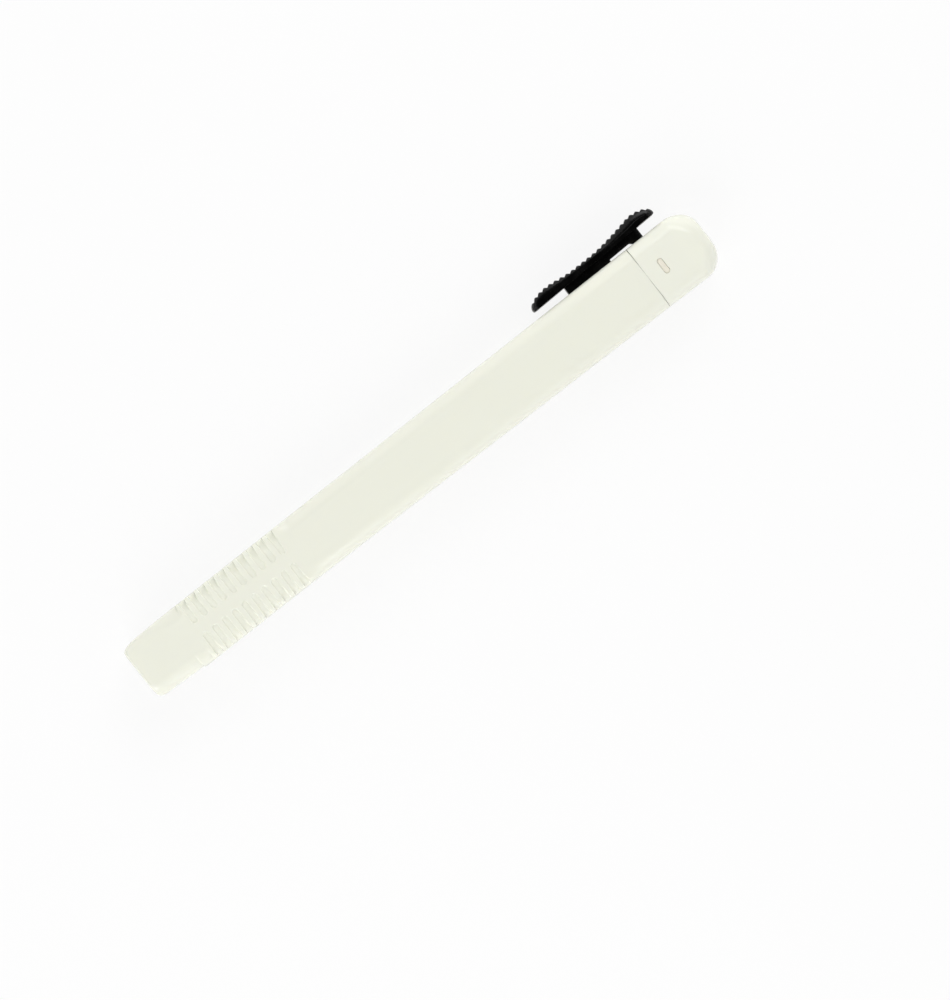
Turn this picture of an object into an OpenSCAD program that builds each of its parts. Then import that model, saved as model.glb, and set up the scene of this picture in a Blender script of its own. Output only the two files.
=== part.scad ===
// Eraser stick in a flat-sided pocket barrel.
// A thumb lever on a sliding holder feeds the stick out of the mouth, click by click.
// X runs along the barrel from the mouth to the cap, Y points to the thumb lever, Z is up.
// The barrel lies on one flat side. The origin is on that side, under the axis, at mid length.

/* [Barrel] */
// Length over all, from the mouth to the end of the cap
pen_l = 118; // [117:1:126]
// Thickness between the two flat sides
barrel_t = 11.4; // [11.2:0.1:12.4]
// Height at the mouth
mouth_h = 10.2; // [9.8:0.1:10.5]
// Height where the nose ends
nose_h = 10.75; // [10.6:0.05:11]
// Height at the seam between barrel and cap
seam_h = 11.9; // [11.8:0.1:12.6]
// Thickness of the nose at the mouth
mouth_t = 10.7; // [10:0.1:11]
// Length of the nose, over which both tapers run out
nose_l = 8; // [6:0.5:8.5]
// Radius of the four long edges
edge_r = 2.5; // [2:0.1:3]
// Length of the rounding at the mouth on the lever side
mouth_round_l = 2.8; // [2:0.1:3.5]
// Depth of the rounding at the mouth on the lever side
mouth_round_d = 0.8; // [0.5:0.1:1.2]
// Radius of the rounding at the mouth on the other side
mouth_round_r = 1.1; // [0.6:0.1:1.4]
// Bore that guides the stick at the mouth
mouth_bore_d = 7.2; // [7:0.1:7.6]
// Length of that bore
mouth_bore_l = 6; // [5:0.5:6]

/* [Grip] */
// Grooves in a row
groove_n = 10; // [6:1:10]
// Distance from groove to groove
groove_pitch = 2.03; // [1.9:0.01:2.1]
// Width of a groove
groove_w = 1.07; // [0.8:0.01:1.2]
// Depth of a groove
groove_d = 0.35; // [0.2:0.05:0.5]
// Centre of the first groove, from the mouth
groove_x = 12.6; // [11:0.1:13]
// Smooth land between the two rows of a side
groove_land = 2; // [1.4:0.1:3]
// Height of the raised pad opposite the lever
pad_h = 0.25; // [0.1:0.05:0.4]
// Start of the pad, from the mouth
pad_x = 9.1; // [8.6:0.1:10]
// Length over which the pad fades out
pad_l = 24; // [20:1:30]

/* [Cap] */
// Length of the cap
cap_l = 12.1; // [11.5:0.1:13]
// Wall of the cap around the spigot
cap_wall = 0.75; // [0.6:0.05:0.9]
// Thickness of the closed end
cap_end = 1.8; // [1.5:0.1:2.2]
// Extra wall of the cap behind the spigot, where its end is rounded
cap_core = 1.4; // [1.2:0.1:1.8]
// Length of the cap's rounding on the lever side
cap_round_l = 4.6; // [3.5:0.1:5]
// Depth of the cap's rounding on the lever side
cap_round_d = 3.3; // [2.5:0.1:3.8]
// Radius of the cap's rounding opposite the lever
cap_round_r = 4; // [3:0.1:4.5]
// Radius of the cap's end towards the flat sides
cap_side_r = 2.6; // [2:0.1:3]
// Length of the barrel's spigot inside the cap
spigot_l = 6.6; // [6:0.1:7]
// Play between spigot and cap
spigot_fit = 0.05; // [0.03:0.01:0.1]
// Width of the cap's window along the barrel
window_w = 1.04; // [0.9:0.02:1.3]
// Length of the window across the barrel
window_l = 2.9; // [2.4:0.1:3.4]
// Centre of the window behind the seam
window_x = 3.24; // [3:0.02:3.6]
// Play of the catch inside the window
catch_fit = 0.12; // [0.08:0.02:0.2]
// Height of the catch over the spigot
catch_h = 0.55; // [0.4:0.05:0.55]

/* [Slider] */
// Distance from click to click
click_pitch = 2; // [1.8:0.1:2.2]
// Width of the slot that the lever's keel runs in
slot_w = 4; // [3.6:0.1:4.4]
// Side length of the square channel inside the barrel
channel_w = 8.3; // [8.2:0.05:8.5]
// Corner radius of the channel
channel_r = 1.5; // [1:0.1:2]
// Play between holder and channel
slide_fit = 0.15; // [0.1:0.01:0.2]
// Depth of the socket that grips the stick
socket_l = 14.5; // [12:0.5:15]
// Length of the two finger slits in the socket
slit_l = 9; // [6:0.5:11]
// Width of a finger slit
slit_w = 1; // [0.6:0.1:1.4]
// Thickness of the holder's side walls
rail_w = 0.8; // [0.6:0.05:0.9]
// Thickness of the holder's floor
floor_t = 1; // [0.8:0.1:1.4]
// Thickness of the wall behind the stick
socket_back = 1.4; // [1:0.1:1.8]
// Length of the bridge that carries the strap
bridge_l = 1.5; // [1.2:0.1:1.6]
// Gap between that wall and the bridge
bridge_gap = 2.7; // [2:0.1:4]
// Depth of the bridge under the holder's top
bridge_h = 1.75; // [1.5:0.05:2.4]
// Distance that the holder keeps from the mouth bore
front_play = 1; // [0.6:0.1:1.4]
// Distance that the keel's corners keep from the round front end of the slot
slot_play = 0.4; // [0.3:0.1:1]

/* [Lever] */
// Width of the thumb bar
bar_w = 6; // [5:0.1:6.4]
// Length of the bar in front of the seam
bar_front_l = 18.2; // [17:0.1:19]
// Length of the bar behind the seam
bar_rear_l = 7.5; // [7:0.1:8]
// Gap between barrel and bar at the front tip
bar_gap_front = 1.2; // [1:0.05:1.3]
// Gap between barrel and bar at the rear tip
bar_gap_rear = 1.85; // [1.7:0.05:2.2]
// Height of the front hump over the barrel
hump_front_h = 3.45; // [3.2:0.05:3.6]
// Height of the saddle over the barrel
saddle_h = 2.92; // [2.7:0.02:3]
// Height of the rear hump over the barrel
hump_rear_h = 4.14; // [3.9:0.02:4.3]
// Distance of the front hump from the front tip
hump_front_l = 3.9; // [3.5:0.1:4.3]
// Length of the slope from the front hump down to the saddle
fall_l = 5.4; // [5:0.1:6]
// Length of the slope from the saddle up to the rear hump
rise_l = 8.4; // [8:0.1:9]
// Distance of the rear hump from the rear tip
hump_rear_l = 3.9; // [3.4:0.1:4.2]
// Distance from rib to rib, along the curve
rib_pitch = 1.1; // [1:0.01:1.15]
// Height of a rib
rib_h = 0.36; // [0.2:0.01:0.4]
// Width of the flat on top of a rib
rib_top = 0.24; // [0.1:0.02:0.3]
// Radius of the bar's corners, seen from above the thumb
bar_corner_r = 1.4; // [1:0.1:2]
// Radius of the bar's lower edge at both tips
tip_r = 0.4; // [0.2:0.05:0.45]
// Start of the keel in front of the seam
keel_front_l = 11.8; // [11.5:0.1:12]
// End of the keel in front of the seam
keel_rear_l = 3; // [2.8:0.1:3.4]
// Height of the keel's raised part over the barrel
keel_lift = 0.38; // [0.3:0.02:0.5]
// Start of the foot behind the seam
foot_front_l = 1.8; // [1.5:0.1:1.9]
// End of the foot behind the seam
foot_rear_l = 3.7; // [3.5:0.1:3.8]
// Play between the foot and the end of the cap's notch
foot_play = 0.8; // [0.4:0.1:1]
// Length of the bevel in front of the foot
foot_bevel = 0.6; // [0.4:0.1:0.8]
// Play between keel and slot on each side
keel_fit = 0.3; // [0.2:0.05:0.5]
// Thickness of the tooth plate inside the channel
plate_t = 1.3; // [1:0.1:1.6]
// Gap between the tooth plate and the roof of the channel
plate_gap = 0.2; // [0.15:0.05:0.3]
// Play between the tooth plate and the holder's walls on each side
plate_fit = 0.2; // [0.15:0.05:0.3]
// Depth of the teeth in the rack
tooth_d = 0.4; // [0.3:0.05:0.4]
// Number of teeth on the lever
tooth_n = 3; // [2:1:3]
// Length of the flat on top of a tooth
tooth_tip = 0.3; // [0.2:0.05:0.4]
// Space between two teeth
tooth_space = 0.4; // [0.3:0.05:0.5]
// Play around a tooth in its notch
tooth_fit = 0.1; // [0.08:0.01:0.12]
// Thickness of the strap that bends when the lever is pressed
strap_t = 0.7; // [0.5:0.05:0.9]
// Free length of the strap
strap_l = 7; // [6:0.1:7.2]
// Width of the strap
strap_w = 5; // [4:0.1:5.6]

/* [Eraser] */
// Diameter of the eraser stick
eraser_d = 6.8; // [6.6:0.05:6.8]
// Length of the eraser stick
eraser_l = 80; // [60:1:90]
// Play between stick and socket, on the radius
socket_fit = 0.05; // [0.03:0.01:0.1]
// Bevel at both ends of the stick
eraser_bevel = 0.4; // [0.2:0.1:0.8]

/* [Hidden] */
$fn = 48;

cream = [0.93, 0.93, 0.87];
black = [0.06, 0.06, 0.06];
white = [0.97, 0.97, 0.96];

// Overlap of a cutter past the face that it cuts
over = 0.5;
// Points on a quarter of an elliptic corner
corner_steps = 8;
// Depth to which the lever's teeth are sunk into their plate
tooth_root = 0.1;
// How hollow the slope up to the rear hump is, where 1 would be straight
rise_power = 1.4;
// Half the distance over which the slope of the crest is taken
crest_probe = 0.1;
mid_z = barrel_t / 2;
seam_x = pen_l - cap_l;
spigot_end = seam_x + spigot_l;
channel_half = channel_w / 2;
holder_half = channel_half - slide_fit;
main_slope = atan((seam_h - nose_h) / 2 / (seam_x - nose_l));
nose_slope = atan((nose_h - mouth_h) / 2 / nose_l);

// Half the barrel's height at a distance from the mouth, behind the nose
function half_h(x) = nose_h / 2 + tan(main_slope) * (x - nose_l);

// The keel is the part of the lever in the slot, and the foot is its rear end in the cap
keel_front = seam_x - keel_front_l;
keel_rear = seam_x - keel_rear_l;
foot_front = seam_x + foot_front_l;
foot_rear = seam_x + foot_rear_l;
keel_w = slot_w - 2 * keel_fit;

// Forward from the keel: the strap, its bridge, the wall behind the stick, and the stick in its socket
strap_front = keel_front - strap_l;
bridge_front = strap_front - bridge_l;
socket_wall = bridge_front - bridge_gap;
stick_end = socket_wall - socket_back;
stick_front = stick_end - eraser_l;
socket_front = stick_end - socket_l;
holder_rear = foot_rear + foot_play / 2;

// Whole clicks that bring the holder close to the back of the mouth bore
clicks = floor((socket_front - mouth_bore_l - front_play) / click_pitch);
travel = clicks * click_pitch;

// The keel's square corners meet the slot's round front end some way behind its foremost point
slot_r = slot_w / 2;
corner_reach = slot_r - sqrt(slot_r * slot_r - keel_w * keel_w / 4);
slot_front = keel_front - travel - corner_reach - slot_play;

// Levels and widths of the tooth plate, the rack and the strap inside the channel
plate_top = channel_half - plate_gap;
plate_w = 2 * (holder_half - rail_w - plate_fit);
rack_w = plate_w + 2 * plate_fit;
strap_mid = plate_top - plate_t / 2;
tooth_l = click_pitch - tooth_space;
first_tooth = keel_rear;

echo(travel = travel, clicks = clicks, stick_front = stick_front);
echo(press_pivot = [strap_front + strap_l / 2 - pen_l / 2, strap_mid, mid_z]);

// Moves a piece from the mouth's own coordinates to the frame of the whole object
module in_frame() {
    translate([-pen_l / 2, 0, 0])
        children();
}

// Extrudes a section drawn as (y, z) along X, from x0 to x1
module along_x(x0, x1) {
    translate([x0, 0, 0])
        rotate([90, 0, 90])
            linear_extrude(x1 - x0)
                children();
}

// Extrudes an outline drawn as (x, y) over a width in Z, centred on the barrel
module across_z(width) {
    translate([0, 0, mid_z - width / 2])
        linear_extrude(width)
            children();
}

// Rounded square section, centred on the barrel's axis
module square_section(half, r) {
    translate([0, mid_z]) {
        square([2 * half, 2 * (half - r)], center = true);
        square([2 * (half - r), 2 * half], center = true);
        for (y = [-1, 1])
            for (z = [-1, 1])
                translate([y * (half - r), z * (half - r)])
                    circle(r);
    }
}

// Section with its upper edge on y = 0 and both upper corners rounded
module upper_section(width, r) {
    translate([-barrel_t * 2, 0])
        square([barrel_t * 2 - r, width]);
    translate([-r * 1.5, r])
        square([r * 1.5, width - 2 * r]);
    for (z = [r, width - r])
        translate([-r, z])
            circle(r);
}

// Long prism whose rounded upper edge slopes and passes through (at_x, at_y)
module upper_prism(at_x, at_y, slope, inset) {
    translate([at_x, at_y - inset, inset])
        rotate([0, 0, slope])
            along_x(-1.5 * pen_l, 1.5 * pen_l)
                upper_section(barrel_t - 2 * inset, edge_r - inset);
}

// The barrel's tapered outer form between two distances from the mouth
module tapered_form(x0, x1, inset) {
    intersection() {
        upper_prism(seam_x, seam_h / 2, main_slope, inset);
        mirror([0, 1, 0])
            upper_prism(seam_x, seam_h / 2, main_slope, inset);
        translate([x0, -seam_h, -over])
            cube([x1 - x0, 2 * seam_h, barrel_t + 2 * over]);
    }
}

// Points of a quarter ellipse around (cx, cy), from the first angle to the second
function corner_arc(cx, cy, rx, ry, from, to) = [
    for (i = [0 : corner_steps])
        let (a = from + (to - from) * i / corner_steps)
            [cx + rx * cos(a), cy + ry * sin(a)]
];

// Side outline of the whole object, with the roundings at the mouth and at the cap
module side_outline() {
    top = mouth_h / 2;
    far = seam_h;
    rear = half_h(pen_l);
    polygon(concat(
        corner_arc(mouth_round_r, -top + mouth_round_r, mouth_round_r, mouth_round_r, 270, 180),
        corner_arc(mouth_round_l, top - mouth_round_d, mouth_round_l, mouth_round_d, 180, 90),
        [[nose_l, far], [pen_l - cap_round_l, far]],
        corner_arc(pen_l - cap_round_l, rear - cap_round_d, cap_round_l, cap_round_d, 90, 0),
        corner_arc(pen_l - cap_round_r, -rear + cap_round_r, cap_round_r, cap_round_r, 0, -90),
        [[pen_l - cap_round_r, -far], [nose_l, -far]]
    ));
}

// Outline seen from the lever side, drawn as (x, z)
module plan_outline() {
    step = (barrel_t - mouth_t) / 2;
    polygon(concat(
        [[-over, step * (1 + over / nose_l)], [nose_l, 0]],
        corner_arc(pen_l - cap_side_r, cap_side_r, cap_side_r, cap_side_r, -90, 0),
        corner_arc(pen_l - cap_side_r, barrel_t - cap_side_r, cap_side_r, cap_side_r, 0, 90),
        [[nose_l, barrel_t], [-over, barrel_t - step * (1 + over / nose_l)]]
    ));
}

module nose_prism() {
    upper_prism(nose_l, nose_h / 2, nose_slope, 0);
}

// Everything that the object's outer surface encloses, from the mouth to the cap's end
module outer_form() {
    intersection() {
        tapered_form(0, pen_l, 0);
        nose_prism();
        mirror([0, 1, 0])
            nose_prism();
        translate([0, 0, -over])
            linear_extrude(barrel_t + 2 * over)
                side_outline();
        translate([0, 2 * seam_h, 0])
            rotate([90, 0, 0])
                linear_extrude(4 * seam_h)
                    plan_outline();
    }
}

// Low pad opposite the lever that steps up behind the nose and sinks into the barrel's surface
module grip_pad(inset) {
    pad_end = pad_x + pad_l;
    fade = main_slope - atan(pad_h / pad_l);
    sunk_l = pad_l / 4;
    intersection() {
        mirror([0, 1, 0])
            upper_prism(pad_end, half_h(pad_end), fade, inset);
        upper_prism(seam_x, seam_h / 2, main_slope, inset);
        translate([pad_x, -seam_h, 0])
            cube([pad_l + sunk_l, seam_h, barrel_t]);
    }
}

// One groove of the grip, open towards the long edge
module groove() {
    translate([-groove_w / 2, groove_land / 2 + groove_w / 2])
        square([groove_w, seam_h]);
    translate([0, groove_land / 2 + groove_w / 2])
        circle(groove_w / 2);
}

// The rows of grooves of both flat sides, whose floors follow the barrel round its long edges
module grip_grooves() {
    difference() {
        for (z = [-over, barrel_t - edge_r])
            translate([0, 0, z])
                linear_extrude(edge_r + over)
                    for (i = [0 : groove_n - 1])
                        translate([groove_x + i * groove_pitch, 0])
                            for (side = [0, 1])
                                mirror([0, side])
                                    groove();
        tapered_form(0, pen_l, groove_d);
        grip_pad(groove_d);
    }
}

// Saw tooth with its steep flank on the cap side, drawn as (x, y) above y = 0
module tooth(grow, root) {
    polygon([
        [-tooth_l - grow, -root],
        [-tooth_l - grow, 0],
        [-tooth_tip - grow, tooth_d + grow],
        [grow, tooth_d + grow],
        [grow, -root]
    ]);
}

// Notches in the roof of the channel, in step with the lever's teeth at every click
module rack_notches() {
    across_z(rack_w)
        for (i = [-clicks : tooth_n - 1])
            translate([first_tooth + i * click_pitch, channel_half])
                tooth(tooth_fit, tooth_root);
}

// Wedge on each side of the spigot that locks into the cap's window
module catches() {
    low = window_w / 2 - catch_fit;
    wide = window_l - window_w / 2 - 2 * catch_fit;
    face = cap_wall + spigot_fit;
    for (side = [0, 1])
        translate([seam_x + window_x, wide / 2, side * barrel_t])
            mirror([0, 0, side])
                rotate([90, 0, 0])
                    linear_extrude(wide)
                        polygon([
                            [-low, face + catch_h],
                            [-low, face - catch_h],
                            [0, face - catch_h],
                            [low, face],
                            [low, face + catch_h]
                        ]);
}

// The slot for the lever's keel, closed at the front and open at the rear
module keel_slot() {
    translate([slot_front + slot_r, 0, mid_z])
        rotate([-90, 0, 0])
            cylinder(h = seam_h, r = slot_r);
    translate([slot_front + slot_r, 0, mid_z - slot_r])
        cube([pen_l, seam_h, slot_w]);
}

module barrel() {
    color(cream) in_frame() {
        difference() {
            union() {
                intersection() {
                    outer_form();
                    translate([-over, -seam_h, -over])
                        cube([seam_x + over, 2 * seam_h, barrel_t + 2 * over]);
                }
                grip_pad(0);
                tapered_form(seam_x - over, spigot_end, cap_wall + spigot_fit);
                catches();
            }
            along_x(mouth_bore_l, pen_l)
                square_section(channel_half, channel_r);
            translate([-over, 0, mid_z])
                rotate([0, 90, 0])
                    cylinder(h = mouth_bore_l + 2 * over, d = mouth_bore_d);
            keel_slot();
            rack_notches();
            grip_grooves();
        }
    }
}

module end_cap() {
    color(cream) in_frame() {
        difference() {
            intersection() {
                outer_form();
                translate([seam_x, -seam_h, -over])
                    cube([cap_l + over, 2 * seam_h, barrel_t + 2 * over]);
            }
            tapered_form(seam_x - over, spigot_end + 2 * spigot_fit, cap_wall);
            // The hollow narrows behind the spigot, so that the rounded end keeps its wall
            tapered_form(spigot_end - over, pen_l - cap_end, cap_wall + cap_core);
            translate([seam_x - over, 0, mid_z - slot_r])
                cube([foot_rear + foot_play - seam_x + over, seam_h, slot_w]);
            translate([seam_x + window_x, 0, -over])
                linear_extrude(barrel_t + 2 * over) {
                    square([window_w, window_l - window_w], center = true);
                    for (y = [-1, 1])
                        translate([0, y * (window_l - window_w) / 2])
                            circle(window_w / 2);
                }
        }
    }
}

module eraser_holder() {
    inner = holder_half - rail_w;
    color(black) in_frame() {
        difference() {
            along_x(socket_front, holder_rear)
                square_section(holder_half, channel_r - slide_fit);
            translate([socket_front - over, 0, mid_z])
                rotate([0, 90, 0])
                    cylinder(h = socket_l + over, d = eraser_d + 2 * socket_fit);
            translate([socket_front - over, -seam_h, mid_z - slit_w / 2])
                cube([slit_l + over, 2 * seam_h, slit_w]);
            // The tray runs through under the bridge and is open above on both sides of it
            translate([socket_wall, -holder_half + floor_t, mid_z - inner])
                cube([pen_l, 2 * holder_half - floor_t - bridge_h, 2 * inner]);
            translate([socket_wall, -holder_half + floor_t, mid_z - inner])
                cube([bridge_gap, seam_h, 2 * inner]);
            translate([strap_front, -holder_half + floor_t, mid_z - inner])
                cube([pen_l, seam_h, 2 * inner]);
        }
    }
}

module flex_strap() {
    color(black) in_frame()
        translate([strap_front, strap_mid - strap_t / 2, mid_z - strap_w / 2])
            cube([strap_l, strap_t, strap_w]);
}

// Ends and highest places of the thumb bar, as distances from the mouth
bar_front = seam_x - bar_front_l;
bar_rear = seam_x + bar_rear_l;
hump_front_x = bar_front + hump_front_l;
saddle_front_x = hump_front_x + fall_l;
hump_rear_x = bar_rear - hump_rear_l;
saddle_rear_x = hump_rear_x - rise_l;

// Height of the rib tips over the barrel: round ends, two humps and a saddle
function crest(x) =
    x < hump_front_x ? round_end((hump_front_x - x) / (hump_front_x - bar_front), hump_front_h)
    : x < saddle_front_x ? saddle_h + (hump_front_h - saddle_h)
        * (1 + cos(180 * (x - hump_front_x) / (saddle_front_x - hump_front_x))) / 2
    : x < saddle_rear_x ? saddle_h
    : x < hump_rear_x ? saddle_h + (hump_rear_h - saddle_h)
        * pow((x - saddle_rear_x) / (hump_rear_x - saddle_rear_x), rise_power)
    : round_end((x - hump_rear_x) / (bar_rear - hump_rear_x), hump_rear_h);

// Quarter ellipse from a hump down to the rounding of the tip
function round_end(t, top) = tip_h(top) + (top - tip_h(top)) * sqrt(max(0, 1 - t * t));
function tip_h(top) = (top == hump_front_h ? bar_gap_front : bar_gap_rear) + tip_r;

// Distance between barrel and bar, which grows to the rear
function gap(x) = bar_gap_front
    + (bar_gap_rear - bar_gap_front) * (x - bar_front) / (bar_rear - bar_front);

// Rib places, one pitch apart along the crest, from tip to tip
function crest_angle(x) = atan((crest(x + crest_probe) - crest(x - crest_probe)) / 2 / crest_probe);
rib_x = [
    for (x = bar_front + tip_r + rib_top / 2; x < bar_rear - rib_top;
            x = x + rib_pitch * cos(crest_angle(x + rib_pitch / 2)))
        x
];

// Side outline of the thumb bar with its ribs
module bar_outline() {
    function over_barrel(x, h) = [x, half_h(x) + h];
    function valley(x) = over_barrel(x, crest(x) - rib_h);
    front_y = half_h(bar_front) + gap(bar_front) + tip_r;
    rear_y = half_h(bar_rear) + gap(bar_rear) + tip_r;
    polygon(concat(
        corner_arc(bar_front + tip_r, front_y, tip_r, tip_r, 270, 180),
        [
            for (i = [0 : len(rib_x) - 1])
                each [
                    if (i > 0) valley((rib_x[i - 1] + rib_x[i]) / 2),
                    over_barrel(rib_x[i] - rib_top / 2, crest(rib_x[i])),
                    over_barrel(rib_x[i] + rib_top / 2, crest(rib_x[i]))
                ]
        ],
        corner_arc(bar_rear - tip_r, rear_y, tip_r, tip_r, 0, -90)
    ));
}

// Side outline of the keel: deep in front, raised over the barrel, and deep again at the foot
module keel_outline() {
    lift_end = foot_front - foot_bevel;
    polygon([
        [keel_front, plate_top - plate_t],
        [keel_front, half_h(keel_front) + gap(keel_front) + rib_h],
        [foot_rear, half_h(foot_rear) + gap(foot_rear) + rib_h],
        [foot_rear, plate_top - plate_t],
        [foot_front, plate_top - plate_t],
        [foot_front, half_h(foot_front)],
        [lift_end, half_h(lift_end) + keel_lift + gap(lift_end) - gap(keel_rear)],
        [keel_rear, half_h(keel_rear) + keel_lift],
        [keel_rear, plate_top - plate_t]
    ]);
}

module thumb_lever() {
    color(black) in_frame() {
        intersection() {
            across_z(bar_w)
                bar_outline();
            translate([bar_front, 0, mid_z + bar_w / 2])
                rotate([-90, 0, 0])
                    linear_extrude(2 * seam_h)
                        rounded_plan(bar_rear - bar_front, bar_w, bar_corner_r);
        }
        across_z(keel_w)
            keel_outline();
        translate([keel_front, plate_top - plate_t, mid_z - plate_w / 2])
            cube([foot_rear - keel_front, plate_t, plate_w]);
        across_z(plate_w)
            for (i = [0 : tooth_n - 1])
                translate([first_tooth + i * click_pitch, channel_half])
                    tooth(0, plate_gap + tooth_root);
    }
}

// Rectangle with round corners, from the origin to (l, w)
module rounded_plan(l, w, r) {
    translate([0, r])
        square([l, w - 2 * r]);
    translate([r, 0])
        square([l - 2 * r, w]);
    for (x = [r, l - r])
        for (y = [r, w - r])
            translate([x, y])
                circle(r);
}

module eraser_stick() {
    r = eraser_d / 2;
    color(white) in_frame()
        translate([stick_front, 0, mid_z])
            rotate([0, 90, 0])
                rotate_extrude()
                    polygon([
                        [0, 0],
                        [r - eraser_bevel, 0],
                        [r, eraser_bevel],
                        [r, eraser_l - eraser_bevel],
                        [r - eraser_bevel, eraser_l],
                        [0, eraser_l]
                    ]);
}

barrel();
end_cap();
eraser_holder();
flex_strap();
thumb_lever();
eraser_stick();
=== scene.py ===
import math

import bpy
import bmesh
import numpy as np
from mathutils import Euler, Matrix, Vector


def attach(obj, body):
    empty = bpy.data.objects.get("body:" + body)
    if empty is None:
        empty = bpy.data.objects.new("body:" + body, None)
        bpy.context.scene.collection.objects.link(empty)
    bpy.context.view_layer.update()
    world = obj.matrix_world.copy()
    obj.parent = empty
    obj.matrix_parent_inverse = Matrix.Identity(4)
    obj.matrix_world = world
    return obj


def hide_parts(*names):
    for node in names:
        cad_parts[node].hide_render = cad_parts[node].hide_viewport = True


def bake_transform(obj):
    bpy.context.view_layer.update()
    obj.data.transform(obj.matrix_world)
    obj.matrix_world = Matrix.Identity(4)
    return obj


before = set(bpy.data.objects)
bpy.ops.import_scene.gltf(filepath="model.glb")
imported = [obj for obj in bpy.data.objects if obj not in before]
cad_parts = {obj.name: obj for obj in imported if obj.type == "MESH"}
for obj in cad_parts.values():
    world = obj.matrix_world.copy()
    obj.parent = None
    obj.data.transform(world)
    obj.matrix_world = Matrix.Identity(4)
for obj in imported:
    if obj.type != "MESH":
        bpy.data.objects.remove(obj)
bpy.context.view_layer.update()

# Sizes are in millimetres until a finished mesh is moved to the frame. X is counted from the mouth, Y from the
# pen's axis towards the lever, and Z from the flat side that the pen lies on.
MM = 0.001

# Barrel: half heights run from the axis to a narrow side, MID_Z is half the thickness between the flat sides
PEN_L = 118.0
MID_Z = 5.7
BARREL_HALF, BARREL_TAPER = 5.375, 0.005873
EDGE_R = 2.5
NOSE_L, NOSE_LOWER, NOSE_THINNER = 8.0, 0.275, 0.35
NOSE_EDGE_R, NOSE_EDGE_X, NOSE_EDGE_L = 1.3, 5.5, 4.5
# Shallow dish in the nose's flats: its reach to both sides, and (X, length) of its slopes in front and behind
DISH_D, DISH_LEVER, DISH_OTHER = 0.05, 3.2, 1.4
DISH_FRONT, DISH_REAR, DISH_TO = (1.5, 3), (7.5, 3.2), 11.0
# Low pad opposite the lever: a step behind the nose, then a long slope that runs out
PAD_H, PAD_X, PAD_STEP, PAD_TOP_X, PAD_L, PAD_END = 0.25, 9.0, 0.2, 9.1, 24, 33.1
PARTING_H, PARTING_W = 0.018, 0.045

# Roundings as (length, depth) of a quarter ellipse
MOUTH_LEVER, MOUTH_OTHER, MOUTH_FLAT = (2.8, 0.8), (1.1, 1.1), (0.4, 0.4)
CAP_LEVER, CAP_OTHER, CAP_FLAT = (4.6, 3.3), (4.0, 4.0), (3.3, 2.75)

# Bore, channel and slot
BORE_R, BORE_END, BORE_EDGE_X, BORE_EDGE_R = 3.6, 6.0, 0.3, 0.25
CHANNEL_HALF, CHANNEL_R = 4.15, 1.5
SLOT_HALF, SLOT_FRONT = 2.0, 32.754
CUT_FROM = 0.5
# The slot's wall as (height over the barrel, offset): straight inside, then flared at the surface
SLOT_FLARE = ((-0.14, 0.0), (-0.05, 0.035), (0.0, 0.12), (0.4, 0.5))

# Rack teeth under the roof, as (X from a tooth's place, height)
RACK_X, RACK_PITCH, RACK_FIRST, RACK_END, RACK_HALF = 102.9, 2, -30, 3, 3.2
RACK_TOOTH = ((-1.7, 4.05), (-1.7, 4.15), (-0.4, 4.65), (0.1, 4.65), (0.1, 4.05))

# Seam, spigot and cap
SEAM_X, SEAM_GAP, SEAM_EDGE = 105.9, 0.012, 0.06
# The seam's opening towards the lever and away from it, as (width, distance from the axis, length of the slope)
SEAM_LEVER, SEAM_OTHER = (0.045, 1.5, 3.6), (0.02, 1.0, 3)
SPIGOT_END, SPIGOT_INSET, SPIGOT_TIP = 112.5, 0.8, 0.3
CAP_WIDE, CAP_DEEP = (SEAM_X - 0.5, 112.6, 0.75), (112.1, 116.2, 2.15)
CAP_EDGE_X, CAP_EDGE_L = 113.4, 4.2
NOTCH_X, NOTCH_REAR, NOTCH_R = SEAM_X - 0.5, 110.4, 0.25
GATE = ((0.95, 0.0), (0.9, 0.02), (0.85, 0.06), (0.6, 0.075), (0.2, 0.08))

# Window in the cap with the catch in it: the rim as (depth, offset), the catch as (depth, inset)
WINDOW_X, WINDOW_HALF, WINDOW_REACH = 109.07, 0.52, 1.45
WINDOW_RIM = ((-0.5, 0.53), (0.0, 0.03), (0.03, 0.0), (0.08, -0.02))
CATCH_PLAY = 0.04
CATCH_FORM = ((1.1, 0.0), (0.25, 0.0), (0.18, 0.03), (0.14, 0.12), (0.12, 0.3))


def smooth(t):
    """Smooth step from 0 to 1."""
    t = np.clip(t, 0.0, 1.0)
    return t * t * (3 - 2 * t)


def half_h(x):
    """Half height of barrel and cap behind the nose."""
    return BARREL_HALF + BARREL_TAPER * (x - NOSE_L)


def turned(degrees):
    """(cosine, sine) of an angle in degrees."""
    a = math.radians(degrees)
    return math.cos(a), math.sin(a)


def spread(a, b, n):
    """n - 1 even places from a towards b, without b."""
    return list(np.linspace(a, b, n)[:-1])


def crowded(a, b, n, power=2.0):
    """n places from a towards b, crowded towards a."""
    return [a + (b - a) * (i / n) ** power for i in range(n)]


# Mesh helpers

def mesh_object(name, verts, faces):
    mesh = bpy.data.meshes.new(name)
    mesh.from_pydata([tuple(v) for v in verts], [], [tuple(f) for f in faces])
    mesh.validate()
    obj = bpy.data.objects.new(name, mesh)
    bpy.context.scene.collection.objects.link(obj)
    return obj


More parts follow.
